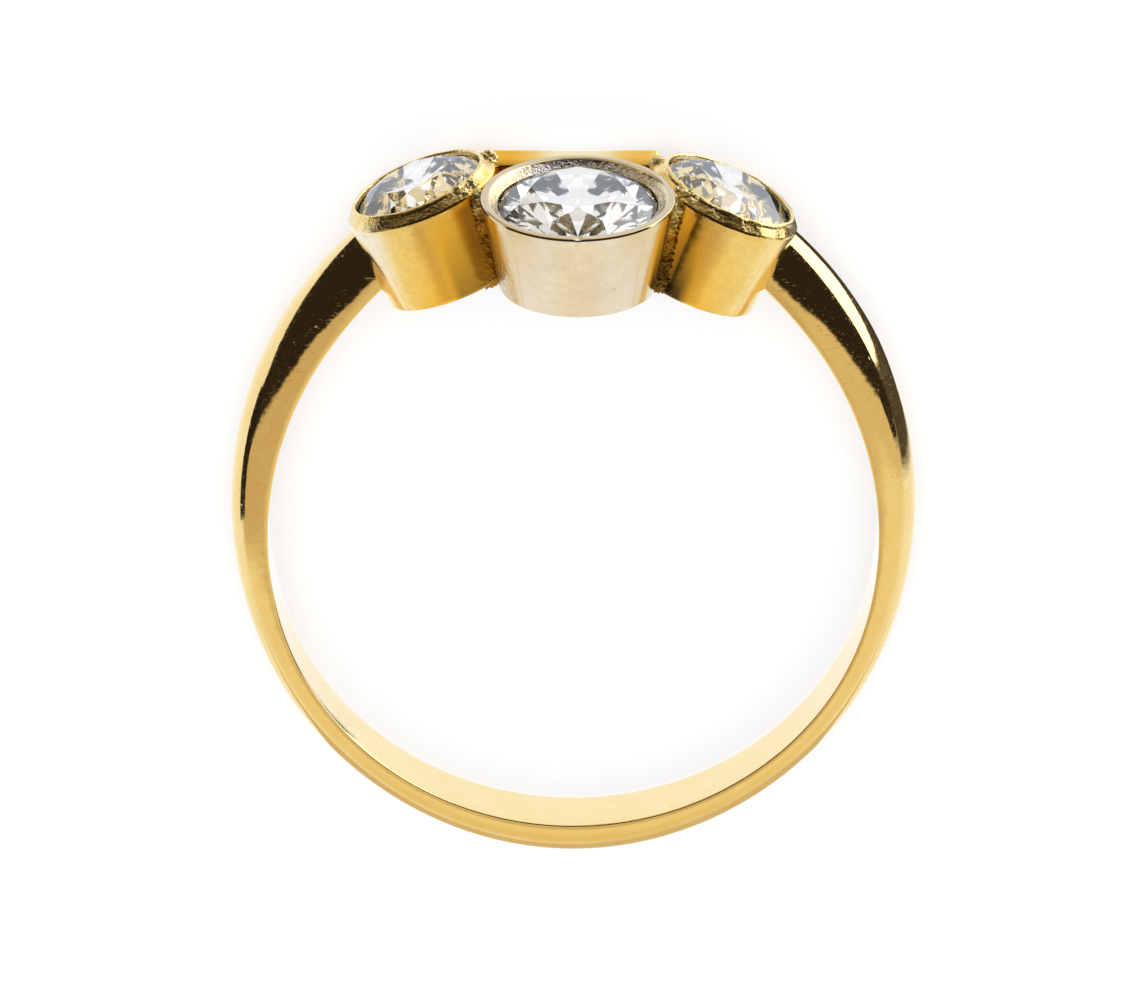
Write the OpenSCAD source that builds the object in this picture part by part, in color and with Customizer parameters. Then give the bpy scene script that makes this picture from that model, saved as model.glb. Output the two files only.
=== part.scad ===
// Three stone ring: a D section band, two leaning side settings, a straight bar behind them,
// an upright centre setting and three round brilliant stones.
// The ring lies on its back side. The finger axis is near +Z and the stones point to -Y.

/* [Band] */
// Radius of the finger hole, lower half
finger_r = 8.62; // [7:0.01:11]
// Width of the band at the bottom
band_w_bottom = 1.92; // [1.2:0.01:4]
// Width of the band at its widest, half way up the arms
band_w_arm = 2.4; // [1.5:0.01:5]
// Width of the band at the ends of the arms
band_w_end = 2; // [1.2:0.01:4]
// Thickness of the band at the bottom
band_t_bottom = 1.06; // [0.7:0.01:2]
// Thickness of the band where it is thinnest, an eighth of a turn up
band_t_thin = 0.85; // [0.6:0.01:2]
// Thickness of the band at the ends of the arms
band_t_top = 1.59; // [0.8:0.01:2.5]
// How far the upper arms stand outside the finger circle at their ends
arm_swell = 1.67; // [0:0.01:3]
// Angle above the widest line at which the arms end, inside the side settings
arm_end = 67; // [55:1:72]
// Fullness of the rounded outside, 2 is an ellipse
band_full = 2.2; // [2:0.1:4]

/* [Side settings] */
// Outer radius at the fullest line, just under the lip
side_r = 2.24; // [1.8:0.01:3]
// Outer radius at the base
side_base_r = 2.07; // [1.2:0.01:3]
// Height from the lip to the base
side_h = 3.04; // [2:0.01:4]
// Inner radius of the lip
side_lip_r = 1.88; // [1.4:0.01:2.6]
// Outer radius of the narrow flat on top of the lip
side_lip_top_r = 2.02; // [1.5:0.01:2.8]
// Drop from the lip to the fullest line
side_lip_h = 0.36; // [0.2:0.01:1]
// Radius of the open tube under the stone
side_tube_r = 1.6; // [1:0.01:2.4]
// Depth of the girdle of the stone below the lip
side_girdle_z = 0.3; // [0.1:0.01:0.8]
// Lean toward the back, degrees
side_back = 4; // [0:0.5:12]
// Distance of both side settings in front of the middle of the band
side_front = 0.91; // [0:0.01:2]
// Distance of the left setting from the middle line
left_out = 4.43; // [3.5:0.01:5.5]
// Height of its lip above the finger axis
left_up = 11.55; // [10:0.01:12.5]
// Outward lean of the left setting, degrees
left_lean = 21.5; // [10:0.5:35]
// Distance of the right setting from the middle line
right_out = 4.45; // [3.5:0.01:5.5]
// Height of its lip above the finger axis
right_up = 11.37; // [10:0.01:12.5]
// Outward lean of the right setting, degrees
right_lean = 24.4; // [10:0.1:35]

/* [Centre setting] */
// Outer radius of the rim
centre_r = 2.78; // [2:0.01:4]
// Outer radius at the base
centre_base_r = 2.25; // [1.5:0.01:4]
// Height from the rim to the base
centre_h = 2.74; // [2:0.01:4]
// Height of the straight band under the rim
centre_band_h = 0.3; // [0:0.01:1]
// Inner radius of the rim
centre_rim_r = 2.52; // [1.8:0.01:3.6]
// Inner radius at the edge that holds the stone
centre_hold_r = 2.28; // [1.6:0.01:3.4]
// Radius of the open tube under the stone
centre_tube_r = 1.85; // [1:0.01:2.8]
// Depth of the girdle of the stone below the rim
centre_girdle_z = 0.38; // [0.1:0.01:1]
// Height of the rim above the finger axis
centre_up = 12.02; // [10:0.01:13]
// Distance of the axis of the setting in front of the middle of the band
centre_front = 2.9; // [0:0.01:4]
// Sideways place of the centre setting
centre_x = 0.13; // [-1:0.01:1]
// Forward lean, degrees
centre_lean = 1.3; // [-5:0.1:10]

/* [Stones] */
// Girdle radius of the centre stone
centre_stone_r = 2.34; // [1.5:0.01:3.2]
// Girdle radius of each side stone
side_stone_r = 1.95; // [1.2:0.01:2.6]
// Table width as a share of the girdle width
table_share = 0.57; // [0.45:0.01:0.7]
// Crown height as a share of the girdle radius
crown_share = 0.29; // [0.2:0.01:0.4]
// Pavilion depth as a share of the girdle radius
pavilion_share = 0.86; // [0.8:0.01:0.92]
// Girdle thickness as a share of the girdle radius
girdle_share = 0.04; // [0.01:0.01:0.1]

/* [Rear bar and solder] */
// Width of the bar from front to back
bar_w = 0.6; // [0.3:0.01:1.5]
// Height of the bar
bar_h = 0.8; // [0.3:0.01:2]
// Height of the top of the bar above the finger axis
bar_up = 12.02; // [10:0.01:13]
// Distance of the middle of the bar behind the middle of the band
bar_back = 0.23; // [-1:0.01:2]
// Half the length of the bar
bar_half = 2.75; // [2:0.01:4]
// Radius of the solder beads
solder_r = 0.26; // [0.1:0.01:0.5]

/* [Fit] */
// Gap between each stone and its setting
stone_gap = 0.03; // [0.01:0.01:0.1]
// Gap between the centre setting and the metal that holds it
setting_gap = 0.03; // [0.01:0.01:0.1]

/* [Node selection] */
// Which piece to show

/* [Hidden] */
$fn = 96;
yellow_gold = [0.93, 0.72, 0.33];
white_gold = [0.85, 0.82, 0.75];
stone_white = [0.9, 0.92, 0.95];

// Small edges: of the band's inside, the bases, the lips and the bar
band_edge = 0.06 * band_w_bottom;
base_round = 0.05 * side_r;
lip_round = 0.03 * side_r;
bar_round = bar_w / 6;

// How far the sweep stands inside the finger hole before that is cut true, and steps of its arc
band_cut = 0.03 * finger_r;
arc_steps = 10;
over = finger_r / 8;

// Each side setting: side (-1 left, 1 right), distance out, height of the lip, lean outward
left_seat = [-1, left_out, left_up, left_lean];
right_seat = [1, right_out, right_up, right_lean];

// Angles on the band, above its widest line: where its width starts and stops growing,
// where it is thinnest and starts to thicken, where its inside leaves the circle,
// and where the sweep itself makes the inside wall
grow_from = -60;
grow_to = 45;
thin_at = -40;
thicken_from = -30;
swell_from = -15;
sweep_wall_from = 8;

// Band stations, half of the ring. Columns:
// angle above the widest line, swell of the inside, width, thickness
band_rows = [
    for (a = [-90 : 6 : arm_end + 1])
        [a, swell(a), width(a), thickness(a)]
];
function share(a, lo, hi) = min(1, max(0, (a - lo) / (hi - lo)));
function ease(k) = k * k * (3 - 2 * k);
function swell(a) = arm_swell * pow(share(a, swell_from, arm_end), 2);
function width(a) = a < grow_to
    ? band_w_bottom + (band_w_arm - band_w_bottom) * ease(share(a, grow_from, grow_to))
    : band_w_arm + (band_w_end - band_w_arm) * ease(share(a, grow_to, arm_end));
function thickness(a) = a < thicken_from
    ? band_t_bottom + (band_t_thin - band_t_bottom) * ease(share(a, -90, thin_at))
    : band_t_thin + (band_t_top - band_t_thin) * ease(share(a, thicken_from, arm_end));

// The ring rests on its back side: on the bottom of the band and on what lies deepest above it,
// either the back edges of the arms or the backs of the side settings.
// Each point: height above the finger axis, depth behind the middle of the band
band_low = [-finger_r - band_edge, band_w_bottom / 2];
mean_lean = (left_lean + right_lean) / 2;
head_low = [
    (left_up + right_up) / 2 - cos(mean_lean) * side_lip_h - side_r * sin(side_back),
    side_r * cos(side_back) - side_lip_h * sin(side_back) - side_front
];
arms_low = [for (row = band_rows) [(finger_r + row[1] + band_edge) * sin(row[0]), row[2] / 2]];
rest_slope = max([
    for (p = concat([head_low], arms_low))
        if (p[0] > 0) (p[1] - band_low[1]) / (p[0] - band_low[0])
]);
rest_tilt = atan(rest_slope);
rest_lift = band_low[1] * cos(rest_tilt) - band_low[0] * sin(rest_tilt);

// The footprint is centred between the table of the centre stone and the bottom of the band
table_top = centre_up - centre_girdle_z + centre_stone_r * crown_share;
rest_shift = cos(rest_tilt) * (table_top - finger_r - band_t_bottom) / 2;

// Points of a D section: across the band, then outward from the inner wall
function power(v, p) = v < 0 ? -pow(-v, p) : pow(v, p);
function wall_cut(a) = band_cut * (1 - ease(share(a, swell_from, sweep_wall_from)));
function section(row) = let (w = row[2] / 2, t = row[3]) concat(
    [[w - band_edge, -wall_cut(row[0])]],
    [
        for (k = [0 : arc_steps])
            let (q = 180 * k / arc_steps)
                [w * power(cos(q), 2 / band_full), band_edge + (t - band_edge) * power(sin(q), 2 / band_full)]
    ],
    [[band_edge - w, -wall_cut(row[0])]]
);
function placed(row, side) = [
    for (p = section(row))
        let (r = finger_r + row[1] + p[1])
            [side * r * cos(row[0]), r * sin(row[0]), p[0]]
];
function last(v) = len(v) - 1;

// Stations from the left arm end, through the bottom, to the right arm end
stations = concat(
    [for (i = [last(band_rows) : -1 : 1]) placed(band_rows[i], -1)],
    [for (row = band_rows) placed(row, 1)]
);

module band() {
    n = len(stations[0]);
    m = len(stations);
    sides = [
        for (i = [0 : m - 2], j = [0 : n - 1])
            let (a = i * n + j, b = i * n + (j + 1) % n, c = a + n, d = b + n)
                each [[a, d, b], [a, c, d]]
    ];
    start = [[for (j = [0 : n - 1]) j]];
    end = [[for (j = [n - 1 : -1 : 0]) (m - 1) * n + j]];
    polyhedron([for (s = stations) each s], concat(sides, start, end));
}

// Side setting axis points along the local +Z, with the lip at zero
module at_seat(seat) {
    translate([seat[0] * seat[1], seat[2], side_front])
        rotate([-90 - side_back, 0, -seat[0] * seat[3]])
            children();
}

module at_centre() {
    translate([centre_x, centre_up, centre_front])
        rotate([-90 + centre_lean, 0, 0])
            children();
}

module side_outside() {
    rotate_extrude()
        polygon([
            [0, -side_h],
            [side_base_r - base_round, -side_h],
            [side_base_r, -side_h + base_round],
            [side_r, -side_lip_h],
            [side_r - lip_round, -side_lip_h / 3],
            [side_lip_top_r, 0],
            [0, 0]
        ]);
}

// Open tube, cone seat, girdle groove and the mouth of a setting
module seat_room(tube_r, stone_r, girdle_z, hold_r, mouth_r, h) {
    room_r = stone_r + stone_gap;
    half_girdle = stone_r * girdle_share / 2 + stone_gap;
    slope = pavilion_share - girdle_share / 2;
    low = -girdle_z - half_girdle;
    high = -girdle_z + half_girdle;
    crown = (crown_share - girdle_share / 2) / (1 - table_share);
    rotate_extrude()
        polygon([
            [0, -h - over],
            [tube_r, -h - over],
            [tube_r, low - slope * (room_r - tube_r)],
            [room_r, low],
            [room_r, high],
            [hold_r, high + crown * (room_r - hold_r)],
            [mouth_r, 0],
            [mouth_r, over],
            [0, over]
        ]);
}

module side_room() {
    seat_room(side_tube_r, side_stone_r, side_girdle_z, side_lip_r, side_lip_r, side_h);
}

module centre_outside(gap, top) {
    rotate_extrude()
        polygon([
            [0, -centre_h - gap],
            [centre_base_r + gap, -centre_h - gap],
            [centre_r + gap, -centre_band_h],
            [centre_r + gap, top],
            [0, top]
        ]);
}

module rod(p, q, r) {
    d = q - p;
    translate(p) {
        sphere(r = r);
        rotate([0, acos(d[2] / norm(d)), atan2(d[1], d[0])])
            cylinder(r = r, h = norm(d));
        translate(d)
            sphere(r = r);
    }
}

// Solder beads beside each side setting, from its axis.
// Columns: distance in, distance up, distance in front of its axis
bead_high = [0.75 * side_r, 0.07 * side_r, 0.49 * side_r];
bead_low = [0.9 * side_r, -0.74 * side_h, 0.56 * side_r];
bead_bar = [0.9 * side_r, 0.2 * side_r, -0.28 * side_r];

module rear_bar() {
    w = bar_w / 2;
    c = bar_round;
    translate([-bar_half, bar_up, -bar_back])
        rotate([90, 0, 90])
            linear_extrude(2 * bar_half)
                polygon([
                    [-bar_h, -w],
                    [-c, -w],
                    [0, -w + c],
                    [0, w - c],
                    [-c, w],
                    [-bar_h, w]
                ]);
}

function beside(seat, offset) = [
    seat[0] * (seat[1] - offset[0]),
    seat[2] + offset[1],
    side_front + offset[2]
];
module solder() {
    for (seat = [left_seat, right_seat]) {
        rod(beside(seat, bead_high), beside(seat, bead_low), solder_r);
        translate(beside(seat, bead_bar))
            sphere(r = solder_r);
    }
}

module mount() {
    color(yellow_gold)
        lay_down()
            difference() {
                union() {
                    band();
                    at_seat(left_seat) side_outside();
                    at_seat(right_seat) side_outside();
                    rear_bar();
                    solder();
                }
                cylinder(r = finger_r, h = 2 * finger_r, center = true);
                at_seat(left_seat) side_room();
                at_seat(right_seat) side_room();
                at_centre() centre_outside(setting_gap, over);
            }
}

module centre_collet() {
    color(white_gold)
        lay_down()
            at_centre()
                difference() {
                    centre_outside(0, 0);
                    seat_room(centre_tube_r, centre_stone_r, centre_girdle_z, centre_hold_r, centre_rim_r, centre_h);
                }
}

// Round brilliant: table, 8 stars, 8 kites, 16 upper girdle facets, girdle,
// 16 lower girdle facets, 8 mains. The girdle middle is at zero.
function ring(r, z, n, turn) = [for (i = [0 : n - 1]) let (q = 360 * i / n + turn) [r * cos(q), r * sin(q), z]];
module brilliant(r) {
    g = r * girdle_share / 2;
    table_r = r * table_share;
    crown_z = r * crown_share;
    culet_z = -r * pavilion_share;
    star_r = table_r * cos(22.5) + 0.55 * (r - table_r * cos(22.5));
    star_z = crown_z - (crown_z - g) * (star_r * cos(22.5) - table_r) / (r - table_r);
    low_r = 0.24 * r;
    low_z = culet_z + (-g - culet_z) * low_r * cos(22.5) / r;
    points = concat(
        ring(table_r, crown_z, 8, 0),
        ring(star_r, star_z, 8, 22.5),
        ring(r, g, 16, 0),
        ring(r, -g, 16, 0),
        ring(low_r, low_z, 8, 22.5),
        [[0, 0, culet_z]]
    );
    star = 8;
    top = 16;
    bottom = 32;
    low = 48;
    culet = 56;
    faces = concat(
        [[for (i = [7 : -1 : 0]) i]],
        [for (i = [0 : 7]) [i, (i + 1) % 8, star + i]],
        [for (i = [0 : 7]) [i, star + i, top + 2 * i, star + (i + 7) % 8]],
        [for (i = [0 : 7]) [star + i, top + 2 * i + 1, top + 2 * i]],
        [for (i = [0 : 7]) [star + i, top + (2 * i + 2) % 16, top + 2 * i + 1]],
        [for (j = [0 : 15]) [top + j, top + (j + 1) % 16, bottom + (j + 1) % 16, bottom + j]],
        [for (i = [0 : 7]) [low + i, bottom + 2 * i, bottom + 2 * i + 1]],
        [for (i = [0 : 7]) [low + i, bottom + 2 * i + 1, bottom + (2 * i + 2) % 16]],
        [for (i = [0 : 7]) [culet, low + (i + 7) % 8, bottom + 2 * i, low + i]]
    );
    polyhedron(points, faces);
}

module centre_stone() {
    color(stone_white)
        lay_down()
            at_centre()
                translate([0, 0, -centre_girdle_z])
                    brilliant(centre_stone_r);
}

module side_stone(seat) {
    color(stone_white)
        lay_down()
            at_seat(seat)
                translate([0, 0, -side_girdle_z])
                    brilliant(side_stone_r);
}

module left_stone() {
    side_stone(left_seat);
}

module right_stone() {
    side_stone(right_seat);
}

module lay_down() {
    translate([0, rest_shift, rest_lift])
        rotate([rest_tilt, 0, 180])
            children();
}

mount();
centre_collet();
centre_stone();
left_stone();
right_stone();
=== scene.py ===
from math import atan2, cos, hypot, pi, radians, sin

import bmesh
import bpy
from mathutils import Matrix, Vector, noise


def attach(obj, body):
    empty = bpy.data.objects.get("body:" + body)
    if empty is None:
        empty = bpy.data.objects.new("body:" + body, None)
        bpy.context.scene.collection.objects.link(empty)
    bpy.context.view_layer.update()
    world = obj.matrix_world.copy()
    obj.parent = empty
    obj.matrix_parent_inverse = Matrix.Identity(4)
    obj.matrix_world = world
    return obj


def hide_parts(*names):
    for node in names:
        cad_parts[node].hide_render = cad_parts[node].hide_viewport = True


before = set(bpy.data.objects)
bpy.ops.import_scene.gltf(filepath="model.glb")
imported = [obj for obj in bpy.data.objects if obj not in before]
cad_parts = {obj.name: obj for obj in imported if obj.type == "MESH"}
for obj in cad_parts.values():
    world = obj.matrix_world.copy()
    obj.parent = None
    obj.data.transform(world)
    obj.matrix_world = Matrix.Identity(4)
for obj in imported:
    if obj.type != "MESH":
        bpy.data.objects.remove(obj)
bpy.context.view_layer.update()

# noise vectors depend on this seed, and without one they differ from run to run
noise.seed_set(5)

# Everything is shaped in the ring's own frame, in millimetres: x to the right of the photo,
# y towards the stones and z towards the viewer. LAY puts it on its back side on the floor, in metres.
TILT, LIFT, SHIFT = radians(0.997533), 1.11193, 1.3191
LAY = (
    Matrix.Scale(0.001, 4)
    @ Matrix.Translation((0, SHIFT, LIFT))
    @ Matrix.Rotation(pi, 4, "Z")
    @ Matrix.Rotation(TILT, 4, "X")
)

FINGER_R = 8.62
# degrees above the middle at which the arms end, inside the settings
ARM_END = 67
# the band is first spun at this radius, then bent to its own
SPUN_R = 10
# radii of the settings and heights below the lip, which is at zero
SIDE = dict(
    r=2.235, base_r=2.065, h=3.035, lip_r=1.88, lip_top_r=2.0, lip_h=0.36, tube_r=1.6, girdle_z=0.3
)
CENTRE = dict(
    r=2.775, base_r=2.245, h=2.735, band_h=0.3, rim_r=2.52, hold_r=2.28, tube_r=1.85, girdle_z=0.38
)
# side, distance out, height of the lip above the finger axis, lean outward
LEFT, RIGHT = (-1, 4.43, 11.55, 21.5), (1, 4.45, 11.37, 24.4)
SIDE_BACK = 4
SIDE_FRONT = 0.91
BAR = dict(half=2.42, up=11.95, back=0.23, w=0.58, h=0.74, slope=0.3)

SIDE_STONE_R, CENTRE_STONE_R = 1.95, 2.34
STONE_GAP = 0.03
# half the girdle, crown, depth and table of a brilliant, as shares of its radius
GIRDLE, CROWN, PAVILION, TABLE = 0.02, 0.29, 0.86, 0.57

# how near a point stands to each side of a held corner, and what counts as one point
CORNER_HOLD = 0.012
MERGE = 0.0001


def seat(side, out, up, lean):
    """Place of a side setting: its axis is local z, its lip at zero."""
    return (
        Matrix.Translation((side * out, up, SIDE_FRONT))
        @ Matrix.Rotation(radians(-side * lean), 4, "Z")
        @ Matrix.Rotation(radians(-90 - SIDE_BACK), 4, "X")
    )


CENTRE_SEAT = Matrix.Translation((0.13, 12.02, 2.9)) @ Matrix.Rotation(radians(-88.7), 4, "X")


def share(a, low, high):
    """How far a is on its way from low to high, from 0 to 1."""
    return min(1, max(0, (a - low) / (high - low)))


def ease(k):
    return k * k * (3 - 2 * k)


# --- materials -------------------------------------------------------------------------------


def material(name):
    mat = bpy.data.materials.new(name)
    mat.use_nodes = True
    tree = mat.node_tree
    tree.nodes.clear()
    out = tree.nodes.new("ShaderNodeOutputMaterial")
    bsdf = tree.nodes.new("ShaderNodeBsdfPrincipled")
    tree.links.new(bsdf.outputs[0], out.inputs[0])
    return mat, tree, bsdf


class Net:
    """Short ways to add nodes to a shader tree."""

    def __init__(self, tree):
        self.tree = tree

    def add(self, kind, links=(), **values):
        node = self.tree.nodes.new(kind if kind.startswith("NodeGroup") else "ShaderNode" + kind)
        for key, value in values.items():
            setattr(node, key, value)
        for socket, value in dict(links).items():
            if isinstance(value, bpy.types.NodeSocket):
                self.tree.links.new(value, node.inputs[socket])
            else:
                node.inputs[socket].default_value = value
        return node

    def maths(self, operation, a, b=0.0, c=0.0):
        return self.add("Math", {0: a, 1: b, 2: c}, operation=operation).outputs[0]

    def clamp(self, value):
        return self.add("Clamp", {"Value": value}).outputs[0]

    def span(self, value, low, high, to_low=0.0, to_high=1.0):
        """A smooth step from to_low at low to to_high at high."""
        sockets = {"Value": value, "From Min": low, "From Max": high}
        sockets.update({"To Min": to_low, "To Max": to_high})
        return self.add("MapRange", sockets, interpolation_type="SMOOTHSTEP").outputs[0]

    def noise(self, where, scale, detail=2.0, rough=0.5):
        sockets = {"Vector": where, "Scale": scale, "Detail": detail, "Roughness": rough}
        return self.add("TexNoise", sockets).outputs[0]

    def moved(self, where, turn, stretch):
        return self.add("Mapping", {"Vector": where, "Rotation": turn, "Scale": stretch}).outputs[0]

    def object_mm(self):
        """Object coordinates in millimetres."""
        where = self.add("TexCoord").outputs["Object"]
        return self.moved(where, (0, 0, 0), (1000, 1000, 1000))

    def mix(self, share, a, b):
        return self.add("Mix", {0: share, 6: a, 7: b}, data_type="RGBA").outputs[2]


def wear_group():
    """Hand worn polish: fine scratches, small pits, soft mottling and rubbed edges, with painted light and
    shade: a painted paler tone, a painted warm reflection and painted shade.
    """
    group = bpy.data.node_groups.new("worn_polish", "ShaderNodeTree")
    for in_out, kind, names in (
        ("INPUT", "Float", ("Scratches", "Pits", "Roughness")),
        ("INPUT", "Color", ("Pale", "Deep", "Warm", "Light", "Painted_Shade_Colour")),
        ("OUTPUT", "Color", ("Color",)),
        ("OUTPUT", "Float", ("Roughness",)),
        ("OUTPUT", "Vector", ("Normal",)),
    ):
        for name in names:
            group.interface.new_socket(name, in_out=in_out, socket_type="NodeSocket" + kind)
    net = Net(group)
    given = net.add("NodeGroupInput").outputs
    mm = net.object_mm()

    # scratches in three directions
    lines = 0.0
    for turn, stretch in (
        ((0.3, 0.5, 0.4), (0.9, 26, 26)),
        ((0.9, 0.2, 1.9), (0.7, 34, 34)),
        ((1.7, 1.1, 2.7), (1.1, 22, 22)),
    ):
        streak = net.noise(net.moved(mm, turn, stretch), 1.0, 1.0)
        lines = net.maths("ADD", lines, net.span(streak, 0.7, 0.8))
    lines = net.maths("MULTIPLY", lines, given["Scratches"])

    # pits where the metal was worked, and a few all over
    worked = net.add("Attribute", attribute_name="worked").outputs["Fac"]
    grain = net.noise(mm, 9.0, 3.0, 0.6)
    pits = net.maths("MULTIPLY", net.span(grain, 0.62, 0.42), worked)
    few = net.span(net.noise(mm, 6.5, 1.0), 0.76, 0.82)
    pits = net.maths("MULTIPLY", net.maths("ADD", pits, few), given["Pits"])

    # pale to deep: mottling, scratches and pits deepen it, rubbed edges are paler
    soft = net.noise(mm, 0.9, 3.0, 0.55)
    edge = net.span(net.add("NewGeometry").outputs["Pointiness"], 0.52, 0.6)
    mottle = net.span(net.noise(mm, 5.0, 5.0, 0.72), 0.38, 0.66, 0.0, 0.55)
    depth = net.maths("MULTIPLY_ADD", net.span(soft, 0.3, 0.75), 0.55, mottle)
    marks = net.maths("MULTIPLY_ADD", lines, 0.6, net.maths("MULTIPLY", pits, 0.8))
    depth = net.maths("SUBTRACT", net.maths("ADD", depth, marks), edge)
    colour = net.mix(net.clamp(depth), given["Pale"], given["Deep"])

    # the painted light and shade kept on the vertices: painted paler tone below 0, painted warm reflection up
    # to 1, painted shade above
    shade = net.add("Attribute", attribute_name="shade").outputs["Fac"]
    uneven = net.maths("MULTIPLY_ADD", soft, 0.5, 0.75)
    warm = net.clamp(net.maths("MULTIPLY", shade, uneven))
    light = net.clamp(net.maths("MULTIPLY", shade, -1.0))
    colour = net.mix(light, net.mix(warm, colour, given["Warm"]), given["Light"])
    painted_shade = net.maths("MULTIPLY", net.maths("SUBTRACT", shade, 1.0), uneven)
    colour = net.mix(net.clamp(painted_shade), colour, given["Painted_Shade_Colour"])

    rough = net.maths("MULTIPLY_ADD", net.span(soft, 0.35, 0.7), 0.05, given["Roughness"])
    rough = net.maths("MULTIPLY_ADD", lines, 0.12, rough)
    rough = net.maths("MULTIPLY_ADD", pits, 0.25, rough)

    fine = net.noise(mm, 24.0, 2.0)
    height = net.maths("MULTIPLY_ADD", fine, 0.035, net.maths("MULTIPLY", soft, 0.9))
    height = net.maths("MULTIPLY_ADD", lines, -0.12, height)
    height = net.maths("MULTIPLY_ADD", pits, -1.6, height)
    bump = net.add("Bump", {"Strength": 0.35, "Distance": 0.00003, "Height": height}).outputs[0]
    net.add("NodeGroupOutput", {"Color": colour, "Roughness": rough, "Normal": bump})
    return group


WEAR = wear_group()


def metal(name, pale, deep, warm, light, painted_shade, rough, scratches, pits):
    mat, tree, bsdf = material(name)
    given = {"Scratches": scratches, "Pits": pits, "Roughness": rough}
    for key, colour in (("Pale", pale), ("Deep", deep), ("Warm", warm), ("Light", light), ("Painted_Shade_Colour", painted_shade)):
        given[key] = (*colour, 1)
    worn = Net(tree).add("Group", given, node_tree=WEAR)
    for out, into in (("Color", "Base Color"), ("Roughness", "Roughness"), ("Normal", "Normal")):
        tree.links.new(worn.outputs[out], bsdf.inputs[into])
    bsdf.inputs["Metallic"].default_value = 1
    return mat


def cut_stone(name):
    mat, tree, bsdf = material(name)
    net = Net(tree)
    mm = net.object_mm()
    cloud = net.span(net.noise(mm, 0.8, 2.0), 0.4, 0.65)
    tint = net.mix(cloud, (1.0, 0.99, 0.97, 1), (0.94, 0.93, 0.9, 1))
    film = net.span(net.noise(mm, 2.5, 3.0), 0.45, 0.75, 0.0, 0.04)
    polish = net.noise(mm, 20.0, 2.0)
    bump = net.add("Bump", {"Strength": 0.05, "Distance": 0.00001, "Height": polish}).outputs[0]
    tree.links.new(tint, bsdf.inputs["Base Color"])
    tree.links.new(film, bsdf.inputs["Roughness"])
    tree.links.new(bump, bsdf.inputs["Normal"])
    bsdf.inputs["Transmission Weight"].default_value = 1
    bsdf.inputs["IOR"].default_value = 2.42
    return mat


# Colours of painted light and shade: the warm ones for painted warm reflections, the light ones for painted
# paler tones and highlights, the browns for painted shade
GOLD_WARM, SETTING_WARM = (0.93, 0.55, 0.08), (1, 0.61, 0.085)
SEAT_LIGHT = (0.88, 0.87, 0.9)
PAINTED_SHADE_BROWN, DEEPER_PAINTED_SHADE_BROWN = (0.27, 0.16, 0.045), (0.14, 0.1, 0.035)
# the band's light colour is the painted highlight in the middle of the rear bar
yellow = metal(
    "yellow_gold_band",
    pale=(0.95, 0.74, 0.36), deep=(0.93, 0.69, 0.3), warm=GOLD_WARM, light=(1, 0.97, 0.85), painted_shade=PAINTED_SHADE_BROWN,
    rough=0.035, scratches=1.0, pits=0.35
)
# the two settings' copies differ only in the brown of their painted shade
left_yellow, right_yellow = (
    metal(
        name,
        pale=(0.99, 0.79, 0.38), deep=(0.9, 0.64, 0.22), warm=SETTING_WARM, light=SEAT_LIGHT, painted_shade=painted_shade,
        rough=0.12, scratches=0.5, pits=1.0
    )
    for name, painted_shade in (("yellow_gold_left_setting", PAINTED_SHADE_BROWN), ("yellow_gold_right_setting", DEEPER_PAINTED_SHADE_BROWN))
)
solder_yellow = metal(
    "yellow_solder",
    pale=(0.97, 0.78, 0.36), deep=(0.93, 0.66, 0.22), warm=GOLD_WARM, light=(1, 0.92, 0.6), painted_shade=PAINTED_SHADE_BROWN,
    rough=0.46, scratches=0.0, pits=1.0
)
# the white gold's warm colour is a painted reflection of the yellow settings beside it, its brown the painted
# shade on the rim
white = metal(
    "white_gold_settings",
    pale=(0.95, 0.91, 0.97), deep=(0.84, 0.79, 0.82), warm=(0.76, 0.6, 0.34), light=SEAT_LIGHT,
    painted_shade=(0.62, 0.5, 0.33), rough=0.1, scratches=0.6, pits=1.0
)
stone = cut_stone("cut_diamond")


# --- making pieces ---------------------------------------------------------------------------


def piece(name, bm, mat, slot, node, place=Matrix(), smooth=True, **kept):
    """Makes a bmesh a piece of the ring that stands for a node of the frame.

    Two values may be kept on its vertices: worked, how much hand work shows, and the painted light and shade,
    from a painted paler tone (-1) over a painted warm reflection (1) to painted shade (2).
    """
    for key, value in kept.items():
        layer = bm.verts.layers.float.new(key)
        for v in bm.verts:
            v[layer] = value(v.co)
    bmesh.ops.transform(bm, matrix=LAY @ place, verts=bm.verts)
    bmesh.ops.recalc_face_normals(bm, faces=bm.faces)
    mesh = bpy.data.meshes.new(name)
    bm.to_mesh(mesh)
    bm.free()
    mesh.materials.append(mat)
    if smooth:
        mesh.shade_smooth()
    else:
        mesh.shade_flat()
    obj = bpy.data.objects.new(name, mesh)
    bpy.context.collection.objects.link(obj)
    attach(obj, "root")
    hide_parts(node)


def outline(bm, points):
    """A closed line through points of the plane y = 0."""
    verts = [bm.verts.new((x, 0, z)) for x, z in points]
    edges = [bm.edges.new((a, b)) for a, b in zip(verts, verts[1:] + verts[:1])]
    return verts + edges


def held(points):
    """The same outline with a point close to each side of every corner, which keeps shading smooth there."""
    held_points = []
    for before, point, after in zip(points[-1:] + points[:-1], points, points[1:] + points[:1]):
        for other in (before, None, after):
            if other is None:
                held_points.append(point)
                continue
            far = hypot(other[0] - point[0], other[1] - point[1])
            if far > 4 * CORNER_HOLD:
                k = CORNER_HOLD / far
                held_points.append(tuple(p + k * (o - p) for p, o in zip(point, other)))
    return held_points


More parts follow.
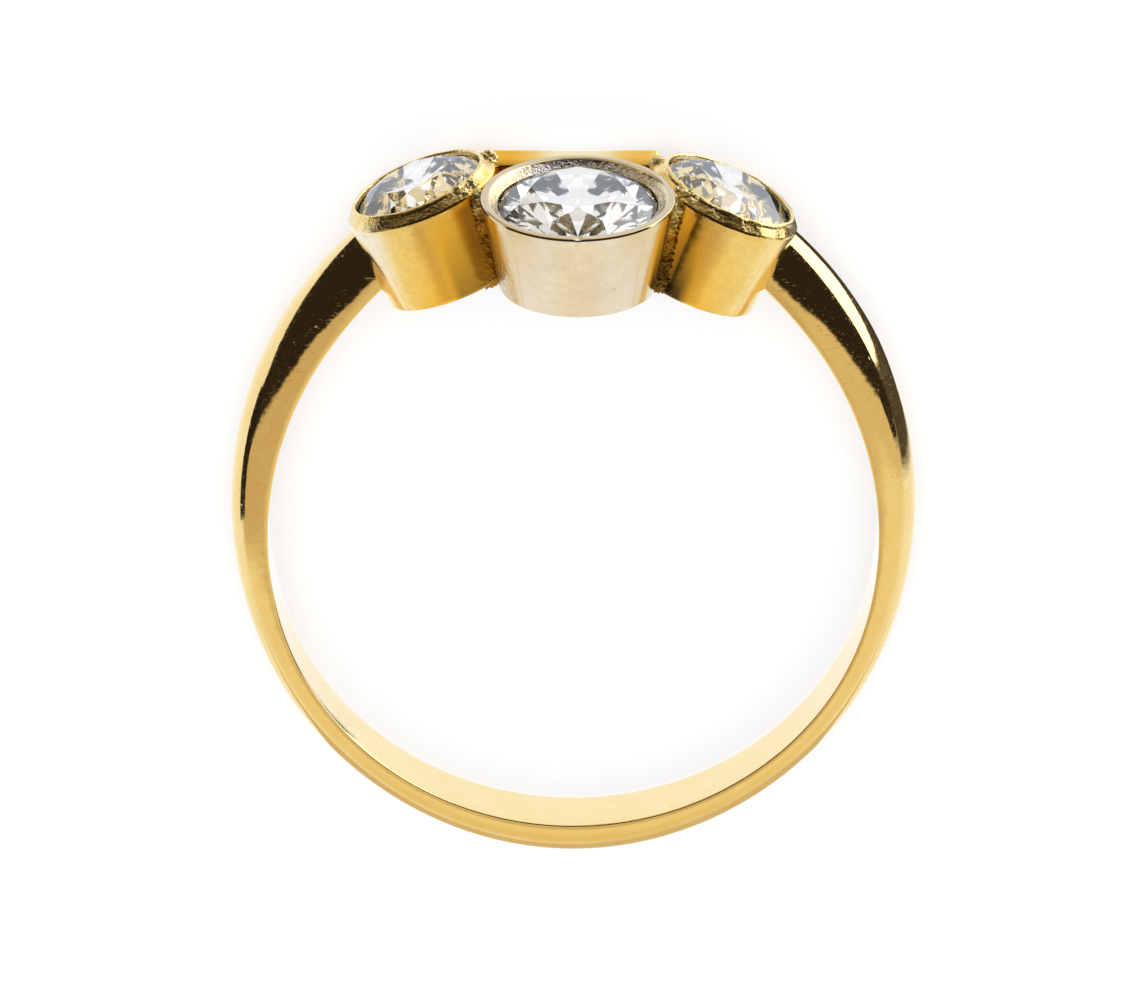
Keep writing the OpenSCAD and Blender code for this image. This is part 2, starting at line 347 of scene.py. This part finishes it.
def turned(points, steps):
    """A ring turned round local z from its outline of (radius, height)."""
    bm = bmesh.new()
    bmesh.ops.spin(
        bm, geom=outline(bm, held(points)), cent=(0, 0, 0), axis=(0, 0, 1), dvec=(0, 0, 0),
        angle=2 * pi, steps=steps, use_merge=True
    )
    bmesh.ops.remove_doubles(bm, verts=bm.verts, dist=MERGE)
    return bm


# --- the band --------------------------------------------------------------------------------
# Angles are in degrees above the level of the finger axis, the same at left and right.


def band_width(a):
    if a < 45:
        return 1.92 + 0.48 * ease(share(a, -60, 45))
    return 2.4 - 0.4 * ease(share(a, 45, ARM_END))


def band_thickness(a):
    if a < -30:
        return 1.06 - 0.21 * ease(share(a, -90, -40))
    return 0.85 + 0.74 * ease(share(a, -30, ARM_END))


def band_swell(a):
    """How far the inner face of the arms stands outside the finger hole."""
    return 1.67 * share(a, -15, ARM_END) ** 2


def on_spun(co):
    """Direction, angle and distance past SPUN_R of a point that isn't bent to the band's shape yet."""
    return atan2(co.y, co.x), atan2(co.y, abs(co.x)) * 180 / pi, hypot(co.x, co.y) - SPUN_R


def d_section():
    """Points of (half widths across, thicknesses out): domed outside, flat inside, soft corners."""
    edge, corner_across, fullness, steps = 0.035, 0.05, 2 / 2.2, 28
    section = []
    for k in range(steps + 1):
        c, s = cos(pi * k / steps), sin(pi * k / steps)
        section.append((abs(c) ** fullness * (1 if c > 0 else -1), edge + (1 - edge) * s ** fullness))
    corner = [(1 - cos(q), 1 - sin(q)) for q in map(radians, (22, 45, 68, 90))]
    section += [(-1 + corner_across * a, edge * b) for a, b in corner]
    section += [(x, 0) for x in (-0.5, -0.2, 0.2, 0.5)]
    section += [(1 - corner_across * a, edge * b) for a, b in reversed(corner)]
    return section


def band():
    bm = bmesh.new()
    geom = outline(bm, [(SPUN_R + depth, across) for across, depth in d_section()])
    turn = radians(ARM_END + 90)
    bmesh.ops.rotate(bm, verts=bm.verts, cent=(0, 0, 0), matrix=Matrix.Rotation(-pi / 2 - turn, 3, "Z"))
    bmesh.ops.spin(
        bm, geom=geom, cent=(0, 0, 0), axis=(0, 0, 1), dvec=(0, 0, 0), angle=2 * turn, steps=230,
        use_merge=False
    )
    bmesh.ops.remove_doubles(bm, verts=bm.verts, dist=MERGE)
    inside_solid = 0.005
    for v in bm.verts:
        way, a, depth = on_spun(v.co)
        r = FINGER_R + band_swell(a) + depth * band_thickness(a)
        v.co = (r * cos(way), r * sin(way), v.co.z * (band_width(a) / 2 - inside_solid))
    bmesh.ops.holes_fill(bm, edges=[e for e in bm.edges if e.is_boundary], sides=0)
    piece("band", bm, yellow, "yellow_gold", "mount")


# --- the settings ----------------------------------------------------------------------------


def girdle_room(stone_r, girdle_z, tube_r, hold_r):
    """Outline of the seat, from the tube up to the edge that holds the stone."""
    room = stone_r + STONE_GAP
    half = stone_r * GIRDLE + STONE_GAP
    low, high = -girdle_z - half, -girdle_z + half
    below = (PAVILION - GIRDLE) * (room - tube_r)
    above = (CROWN - GIRDLE) / (1 - TABLE) * (room - hold_r)
    return [(tube_r, low - below), (room, low), (room, high), (hold_r, high + above)]


def hammered(bm, low, depth, seed):
    """Uneven hand work above a height: vertices moved by noise, fully from a little higher up."""
    scale, fade = 2.2, 0.12
    for v in bm.verts:
        if v.co.z > low:
            k = share(v.co.z, low, low + fade) * depth
            v.co += k * noise.noise_vector(v.co * scale + Vector((seed, 0, 0)))


# Distances out from the middle between which a side setting's wall takes a painted warm reflection and then
# painted shade, how much painted shade, and how much paler its outer side is painted
SIDE_TONES = {
    -1: dict(warm=(4.9, 3.7), painted_shade_span=(3.45, 3.1), painted_shade=0.8, pale=0.6),
    1: dict(warm=(4.5, 3.3), painted_shade_span=(3.3, 2.85), painted_shade=1.2, pale=0),
}


def side_collet(name, where, mat, seed, rough_lip):
    s, tones = SIDE, SIDE_TONES[where[0]]
    points = [
        (s["tube_r"], -s["h"]),
        (s["base_r"] - 0.05, -s["h"]),
        (s["base_r"] - 0.01, -s["h"] + 0.03),
        (s["base_r"], -s["h"] + 0.08),
        (s["r"] - 0.02, -s["lip_h"] - 0.25),
        (s["r"], -s["lip_h"] - 0.01),
        (s["r"] - 0.02, -s["lip_h"] + 0.05),
        (s["lip_top_r"] + 0.05, -0.12),
        (s["lip_top_r"] + 0.02, -0.05),
        (s["lip_top_r"] - 0.02, -0.01),
        (s["lip_r"] + 0.05, 0),
        (s["lip_r"] + 0.01, -0.02),
        (s["lip_r"], -0.06),
    ]
    points += reversed(girdle_room(SIDE_STONE_R, s["girdle_z"], s["tube_r"], s["lip_r"]))
    bm = turned(points, 240)
    hammered(bm, -s["lip_h"] - 0.05, rough_lip, seed)
    place = seat(*where)

    def worked(co):
        return 0.3 * share(co.z, -s["lip_h"] - 0.1, -s["lip_h"] + 0.1)

    # painted light and shade on the wall: the seat inside paler, so that it shows lighter through the stone,
    # then towards the centre setting a painted warm reflection and painted shade, and a paler outer side
    def shade(co):
        if hypot(co.x, co.y) < s["lip_r"] + 0.04 and co.z < -0.08:
            return -0.7
        out = abs((place @ co).x)
        tone = 0.9 * ease(share(out, *tones["warm"])) + tones["painted_shade"] * ease(share(out, *tones["painted_shade_span"]))
        tone -= tones["pale"] * ease(share(out, 5.0, 5.7))
        return tone * share(-co.z, 0.25, 0.5)

    piece(name, bm, mat, "yellow_gold", "mount", place, worked=worked, shade=shade)


def centre_collet():
    s = CENTRE
    points = [
        (s["tube_r"], -s["h"]),
        (s["base_r"] - 0.06, -s["h"]),
        (s["base_r"] - 0.01, -s["h"] + 0.03),
        (s["base_r"], -s["h"] + 0.08),
        (s["r"] - 0.035, -s["band_h"]),
        (s["r"], -0.08),
        (s["r"] - 0.02, -0.02),
        (s["r"] - 0.07, 0),
        (s["rim_r"] + 0.05, 0),
        (s["rim_r"], -0.03),
        (s["rim_r"] - 0.08, -0.1),
    ]
    points += reversed(girdle_room(CENTRE_STONE_R, s["girdle_z"], s["tube_r"], s["hold_r"]))
    bm = turned(points, 288)
    hammered(bm, -0.06, 0.01, 5)
    nick, nick_r, nick_depth = Vector((0.0, -2.7, 0)), 0.16, 0.05
    for v in bm.verts:
        near = (v.co - nick).length
        if near < nick_r:
            v.co.z -= nick_depth * ease(1 - near / nick_r)

    def worked(co):
        if hypot(co.x, co.y) < s["rim_r"] + 0.02 and co.z > -s["band_h"] - 0.2:
            return 0.9 * share(-co.z, 0.04, 0.12)
        return 0.8 * ease(share(-co.x, 1.5, 2.1)) * share(-co.z, 0.7, 1.1)

    # painted shade, warmer and darker, on the top of the rim, and a painted warm reflection of the yellow
    # settings on both sides
    def shade(co):
        rim, beside = 1.9 * share(co.z, -0.05, 0), 0.9 * ease(share(abs(co.x), 0.8, 1.9))
        return max(rim, beside)

    piece("centre_setting", bm, white, "white_gold", "centre_collet", CENTRE_SEAT, worked=worked, shade=shade)


# --- bar and solder --------------------------------------------------------------------------


def rear_bar():
    bm = bmesh.new()
    middle = Vector((0, BAR["up"] - BAR["h"] / 2, -BAR["back"]))
    size = Matrix.Diagonal((2 * BAR["half"], BAR["h"], BAR["w"], 1))
    bmesh.ops.create_cube(bm, size=1, matrix=Matrix.Translation(middle) @ size)
    # its top slopes down to the front
    for v in bm.verts:
        if v.co.y > middle.y and v.co.z > middle.z:
            v.co.y -= BAR["slope"]
    bmesh.ops.bevel(
        bm, geom=bm.edges[:], offset=0.09, segments=4, profile=0.5, affect="EDGES", material=-1
    )
    along = [e for e in bm.edges if abs(e.verts[0].co.x - e.verts[1].co.x) > 1]
    bmesh.ops.subdivide_edges(bm, edges=along, cuts=24, use_grid_fill=True)

    # painted warm reflection towards both ends and a painted highlight, paler, in the middle
    def shade(co):
        warm = share(-co.x, 0.6, 1.8) + 0.7 * share(co.x, 1.0, 1.8)
        return warm - share(co.x, -1.4, -0.5) * share(-co.x, -1.5, -0.7)

    piece("rear_bar", bm, yellow, "yellow_gold", "mount", shade=shade)


def lumpy(bm, centre, r, seed, rough=0.3, grain=2.4):
    """One bead of solder, uneven all over."""
    for v in bmesh.ops.create_icosphere(bm, subdivisions=4, radius=r)["verts"]:
        way = v.co.normalized()
        v.co += way * r * rough * noise.fractal(way * grain + Vector((seed, 0, 0)), 0.6, 2, 3)
        v.co += centre


# How far a seam stands to the front and reaches down, how dark the painted shade on its low part is,
# and the angles and radii of the lumps on the lip
SEAMS = {
    -1: dict(
        front=1.4, down=2.2, dark=0.4,
        lumps=((-36, 0.2), (-44, 0.17), (-51, 0.24), (-59, 0.19), (-67, 0.13))
    ),
    1: dict(
        front=1.72, down=2.06, dark=0.9,
        lumps=((220, 0.16), (228, 0.23), (237, 0.18), (254, 0.13), (280, 0.12))
    ),
}


def solder(name, side, out, up, lean):
    """A pitted seam between a side setting and the centre one, a bead at the bar and lumps on the lip."""
    bm = bmesh.new()
    seam, beads = SEAMS[side], 14
    front = SIDE_FRONT + seam["front"]
    high = Vector((side * (out - 1.7), up + 0.157, front))
    low = Vector((side * (out - 2.016), up - seam["down"], front + 0.15))
    for k in range(beads):
        at, r = high.lerp(low, k / (beads - 1)), 0.3 + 0.03 * sin(k * 2.1 + side)
        lumpy(bm, at, r, 3 * k + side, rough=0.35, grain=5)
    lumpy(bm, Vector((side * (out - 2.016), up + 0.448, SIDE_FRONT - 0.627)), 0.25, 40 + side)
    place, lip_r, lip_z = seat(side, out, up, lean), 1.99, -0.23
    for k, (angle, r) in enumerate(seam["lumps"]):
        at = Vector((lip_r * cos(radians(angle)), lip_r * sin(radians(angle)), lip_z))
        lumpy(bm, place @ at, r, 60 + 7 * k + side, rough=0.5, grain=1.4)

    def worked(co):
        return share(up - co.y, 0.0, 0.3)

    # painted light and shade: paler at the top, warmer lower down and painted shade lowest down between the
    # settings
    def shade(co):
        return 1.3 * share(up - co.y, 0.1, 0.6) - 0.3 + seam["dark"] * share(up - co.y, 0.7, 1.5)

    piece(name, bm, solder_yellow, "yellow_gold", "mount", worked=worked, shade=shade)


# --- stones ----------------------------------------------------------------------------------


def brilliant(name, r, node, place, girdle_z):
    """The hull of its corners: table, star and girdle facets above, two rows of facets below."""
    girdle, crown, deep, table = GIRDLE * r, CROWN * r, -PAVILION * r, TABLE * r
    half_step = cos(pi / 8)
    star = table * half_step + 0.55 * (r - table * half_step)
    star_z = crown - (crown - girdle) * (star * half_step - table) / (r - table)
    low = 0.24 * r
    low_z = deep + (-girdle - deep) * low * half_step / r
    bm = bmesh.new()
    for radius, height, count, turn in (
        (table, crown, 8, 0),
        (star, star_z, 8, 22.5),
        (r, girdle, 16, 0),
        (r, -girdle, 16, 0),
        (low, low_z, 8, 22.5),
    ):
        turned_to = Matrix.Translation((0, 0, height)) @ Matrix.Rotation(radians(turn), 4, "Z")
        bmesh.ops.create_circle(bm, segments=count, radius=radius, matrix=turned_to)
    bm.verts.new((0, 0, deep))
    bmesh.ops.convex_hull(bm, input=bm.verts)
    bmesh.ops.delete(bm, geom=[e for e in bm.edges if not e.link_faces], context="EDGES")
    bmesh.ops.dissolve_limit(bm, angle_limit=radians(0.4), verts=bm.verts, edges=bm.edges)
    piece(name, bm, stone, "diamond", node, place @ Matrix.Translation((0, 0, -girdle_z)), smooth=False)


band()
side_collet("left_setting", LEFT, left_yellow, 3, 0.02)
side_collet("right_setting", RIGHT, right_yellow, 11, 0.035)
centre_collet()
rear_bar()
solder("left_solder", *LEFT)
solder("right_solder", *RIGHT)
brilliant("centre_brilliant", CENTRE_STONE_R, "centre_stone", CENTRE_SEAT, CENTRE["girdle_z"])
brilliant("left_brilliant", SIDE_STONE_R, "left_stone", seat(*LEFT), SIDE["girdle_z"])
brilliant("right_brilliant", SIDE_STONE_R, "right_stone", seat(*RIGHT), SIDE["girdle_z"])


# --- floor, light and camera -----------------------------------------------------------------

FLOOR_SIZE = 4
DOME_R = 0.5


def stage_piece(name, bm, mat, reflected_only=False):
    mesh = bpy.data.meshes.new(name)
    bm.to_mesh(mesh)
    bm.free()
    mesh.materials.append(mat)
    obj = bpy.data.objects.new(name, mesh)
    bpy.context.collection.objects.link(obj)
    if reflected_only:
        obj.visible_camera = obj.visible_diffuse = obj.visible_shadow = obj.visible_transmission = False
    return obj


def grid(size, place=Matrix()):
    bm = bmesh.new()
    matrix = place @ Matrix.Diagonal((*size, 1, 1))
    bmesh.ops.create_grid(bm, x_segments=1, y_segments=1, size=0.5, matrix=matrix)
    return bm


def card(name, colour):
    """A studio card of one even tone."""
    mat, tree, bsdf = material(name)
    bsdf.inputs["Base Color"].default_value = (0, 0, 0, 1)
    bsdf.inputs["Roughness"].default_value = 1
    bsdf.inputs["Emission Color"].default_value = (*colour, 1)
    bsdf.inputs["Emission Strength"].default_value = 1
    return mat, tree, bsdf


mat, tree, bsdf = material("pale_floor")
net = Net(tree)
paper = net.noise(net.add("TexCoord").outputs["Object"], 9.0, 3.0)
tree.links.new(net.mix(paper, (0.42, 0.42, 0.42, 1), (0.39, 0.39, 0.395, 1)), bsdf.inputs["Base Color"])
bsdf.inputs["Roughness"].default_value = 0.7
bsdf.inputs["Emission Color"].default_value = (0.99, 0.99, 1.0, 1)
bsdf.inputs["Emission Strength"].default_value = 0.58
floor = stage_piece("floor", grid((FLOOR_SIZE, FLOOR_SIZE)), mat)
floor.visible_glossy = False

world = bpy.data.worlds.new("soft_room")
world.use_nodes = True
world.node_tree.nodes["Background"].inputs[0].default_value = (1, 1, 1, 1)
world.node_tree.nodes["Background"].inputs[1].default_value = 1.0
bpy.context.scene.world = world


def dome_tone(net, way):
    """Tone of the room in every direction, as the polished metal shows it."""
    axes = net.add("SeparateXYZ", {0: way}).outputs
    across = net.maths("MULTIPLY", axes[0], -1.0)
    up = net.maths("MULTIPLY", axes[1], -1.0)
    height = axes[2]

    def both(*shares):
        product = shares[0]
        for another in shares[1:]:
            product = net.maths("MULTIPLY", product, another)
        return product

    right = net.span(across, -0.1, 0.1)
    left = net.maths("SUBTRACT", 1.0, right)
    sides = net.span(net.maths("ABSOLUTE", across), 0.1, 0.7)

    # pale warm wall past the bottom of the band, whiter at both sides and down to the paper
    middle = net.mix(net.span(height, 0.45, 0.8), (0.82, 0.69, 0.39, 1), (0.89, 0.8, 0.52, 1))
    pale = net.mix(sides, middle, (0.89, 0.82, 0.58, 1))
    tone = net.mix(net.span(height, 0.35, -0.12), pale, (0.98, 0.98, 0.95, 1))
    tone = net.mix(net.span(height, -0.4, -0.85), tone, (1.02, 1.08, 1.2, 1))

    # tan from the wall up and over
    edge = net.maths("MULTIPLY_ADD", net.span(across, 0.0, 0.6), 0.17, -0.49)
    past_edge = net.span(net.maths("SUBTRACT", up, edge), -0.07, 0.04)
    tan = net.mix(right, (0.62, 0.49, 0.3, 1), (0.72, 0.61, 0.38, 1))
    tone = net.mix(both(past_edge, net.span(height, 0.02, 0.24)), tone, tan)

    # brown low behind the bottom of the band
    brown = both(
        net.span(up, -0.8, -0.93), net.span(height, 0.3, -0.15), net.span(across, -0.12, 0.2, 0.2, 0.65)
    )
    tone = net.mix(brown, tone, (0.45, 0.32, 0.16, 1))

    # bright paper low to the right of the stones, with a dark edge beside it
    bright = both(net.span(up, 0.0, 0.05), net.span(height, 0.1, 0.0), net.span(across, 0.45, 0.6))
    tone = net.mix(bright, tone, (2.4, 2.4, 2.4, 1))
    beside = both(
        net.span(up, 0.05, 0.0), net.span(up, -0.34, -0.26), net.span(across, 0.42, 0.5),
        net.span(height, -0.96, -0.9), net.span(height, 0.2, 0.0)
    )
    tone = net.mix(beside, tone, (0.07, 0.055, 0.045, 1))

    # dark room past the stones, reaching round to the right low down
    reach = both(
        net.span(height, 0.0, 0.14), net.span(height, 0.48, 0.3), net.span(across, -0.3, 0.3, 0.05, 0.11)
    )
    start = net.span(across, -0.1, 0.5, 0.18, 0.12)
    dark = net.span(net.maths("ADD", net.maths("ADD", up, reach), start), -0.025, 0.025)
    fall = both(net.maths("MAXIMUM", up, 0.0), net.maths("MULTIPLY", left, 1.35))
    dark = both(dark, net.span(net.maths("ADD", height, fall), -0.02, 0.05))

    # lighter again straight ahead of the stones and bright low down there
    ahead = both(net.span(up, 0.5, 0.72), net.span(height, 0.38, 0.2))
    ahead = net.maths("MAXIMUM", ahead, net.span(net.maths("SUBTRACT", up, height), 0.85, 1.1))
    room = net.mix(ahead, (0.019, 0.013, 0.008, 1), (0.33, 0.28, 0.2, 1))
    low_ahead = both(net.span(up, 0.55, 0.8), net.span(height, 0.05, -0.2))
    room = net.mix(low_ahead, room, (0.9, 0.82, 0.6, 1))
    return net.mix(dark, tone, room)


def floor_strip(name, colour, inside, outside, start, end, taper):
    """A strip of tone on the floor along the outside of the band, between two angles.

    inside and outside are its edges' distances past the band, and between the two angles of
    taper its inner edge runs out to the outer one.
    """
    bm = bmesh.new()
    rim = [bm.verts.new((SPUN_R + out, 0, 0)) for out in (inside, outside)]
    turn = Matrix.Rotation(radians(start), 3, "Z")
    bmesh.ops.rotate(bm, verts=rim, cent=(0, 0, 0), matrix=turn)
    bmesh.ops.spin(
        bm, geom=rim + [bm.edges.new(rim)], cent=(0, 0, 0), axis=(0, 0, 1), dvec=(0, 0, 0),
        angle=radians(end - start), steps=30, use_merge=False
    )
    for v in bm.verts:
        way, a, out = on_spun(v.co)
        past = outside + (out - outside) * share(a, *taper)
        r = past + FINGER_R + band_swell(a) + band_thickness(a)
        v.co = (r * cos(way), r * sin(way), 0)
    bmesh.ops.transform(bm, matrix=LAY, verts=bm.verts)
    for v in bm.verts:
        v.co.z = 0.00004
    stage_piece(name, bm, card(name, colour)[0], True)


# Seen only in the polished metal: the room round the ring, a low dark strip at its left
# and the tones of the floor along the outside of its right arm and of its bottom
mat, tree, bsdf = card("studio_dome", (0, 0, 0))
net = Net(tree)
way = net.moved(net.add("TexCoord").outputs["Object"], (0, 0, 0), (1 / DOME_R,) * 3)
tree.links.new(dome_tone(net, way), bsdf.inputs["Emission Color"])
bm = bmesh.new()
bmesh.ops.create_uvsphere(bm, u_segments=96, v_segments=48, radius=DOME_R)
stage_piece("studio_dome", bm, mat, True)

dark_card = card("dark_card", (0.012, 0.008, 0.005))[0]
strip_place = Matrix.Translation((0.03, 0.004, 0.00425)) @ Matrix.Rotation(pi / 2, 4, "Y")
stage_piece("low_dark_strip", grid((0.0085, 0.013), strip_place), dark_card, True)
floor_strip("arm_shadow", (0.06, 0.045, 0.035), -0.2, 0.8, 24, 62, (20, 36))
floor_strip("bottom_shadow", (0.68, 0.56, 0.34), -0.5, 30, -155, -25, (-25, -45))

light = bpy.data.lights.new("softbox_above", "AREA")
light.shape = "RECTANGLE"
light.size = light.size_y = 0.4
light.energy = 1.4
softbox = bpy.data.objects.new("softbox_above", light)
softbox.location = (0.03, -0.24, 0.55)
softbox.rotation_euler = (-softbox.location).to_track_quat("-Z", "Y").to_euler()
softbox.visible_glossy = False
bpy.context.collection.objects.link(softbox)

# The camera looks along the finger axis from 25 degrees towards the stones, without perspective
# to speak of. Its image is the photo's, with the finger axis at the pixel that was fitted.
IMAGE_W, IMAGE_H = 1142, 1000
FINGER_AXIS_X, FINGER_AXIS_Y = 573.3, 538.3
PIXELS_PER_MM = 35.1
CAMERA_UP = radians(25)
CAMERA_AWAY = 1000
SENSOR = 36
toward = Vector((0, sin(CAMERA_UP), cos(CAMERA_UP)))
upward = Vector((0, cos(CAMERA_UP), -sin(CAMERA_UP)))
aim = Vector(((IMAGE_W / 2 - FINGER_AXIS_X) / PIXELS_PER_MM, 0, 0))
aim += upward * ((FINGER_AXIS_Y - IMAGE_H / 2) / PIXELS_PER_MM)
camera = bpy.data.cameras.new("photo_camera")
camera.sensor_width = SENSOR
camera.lens = SENSOR * CAMERA_AWAY / (IMAGE_W / PIXELS_PER_MM)
camera.clip_start = 0.01
camera_obj = bpy.data.objects.new("photo_camera", camera)
turn = Matrix((Vector((1, 0, 0)), upward, toward)).transposed().to_4x4()
placed = LAY @ Matrix.Translation(aim + CAMERA_AWAY * toward) @ turn
camera_obj.location = placed.translation
camera_obj.rotation_euler = placed.to_3x3().normalized().to_euler()
bpy.context.collection.objects.link(camera_obj)
bpy.context.scene.camera = camera_obj
bpy.context.scene.view_settings.view_transform = "Standard"
